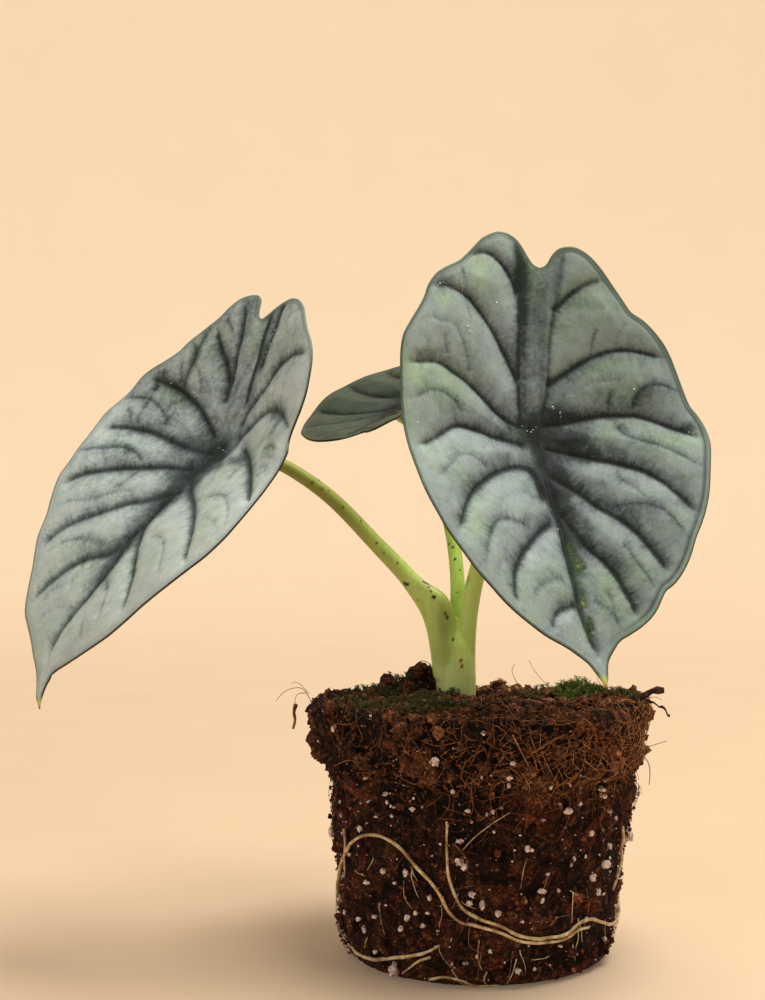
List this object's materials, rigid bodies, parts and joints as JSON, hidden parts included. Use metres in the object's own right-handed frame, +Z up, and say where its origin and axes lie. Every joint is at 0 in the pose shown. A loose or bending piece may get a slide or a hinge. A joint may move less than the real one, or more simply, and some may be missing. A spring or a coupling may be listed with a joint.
{
  "type": "nebula alocasia plant with its bare root ball",
  "caption": "Young aroid house plant out of its pot: shield-shaped silver leaves with dark sunken veins on green stalks, standing on a tapered plug of rooted soil.",
  "frame": {"origin": "middle of the flat base of the root ball", "axes": "+Z up along the plug, -Y towards the front, where the big right leaf shows its face, +X to the right"},
  "size_m": [0.1807, 0.1424, 0.195],
  "materials": {
    "soil": "loose coir and peat crumb with perlite, matt and damp",
    "root": "pale cream root skin, satin",
    "bark": "dark weathered bark, matt",
    "moss": "soft cushion moss, matt",
    "stalk": "smooth green stalk skin, satin, with small dark flecks",
    "leaf": "silver grey-green blade, quilted, dull metallic sheen, dark sunken veins"
  },
  "bodies": {
    "root": {"root_ball": "soil", "root_long": "root", "root_left": "root", "root_foot": "root", "root_right": "root", "twig_right": "bark", "moss_right": "moss", "moss_front": "moss", "stem_base": "stalk", "petiole_left": "stalk", "petiole_right": "stalk", "petiole_back": "stalk", "leaf_left": "leaf", "leaf_right": "leaf", "leaf_back": "leaf"}
  },
  "joints": []
}
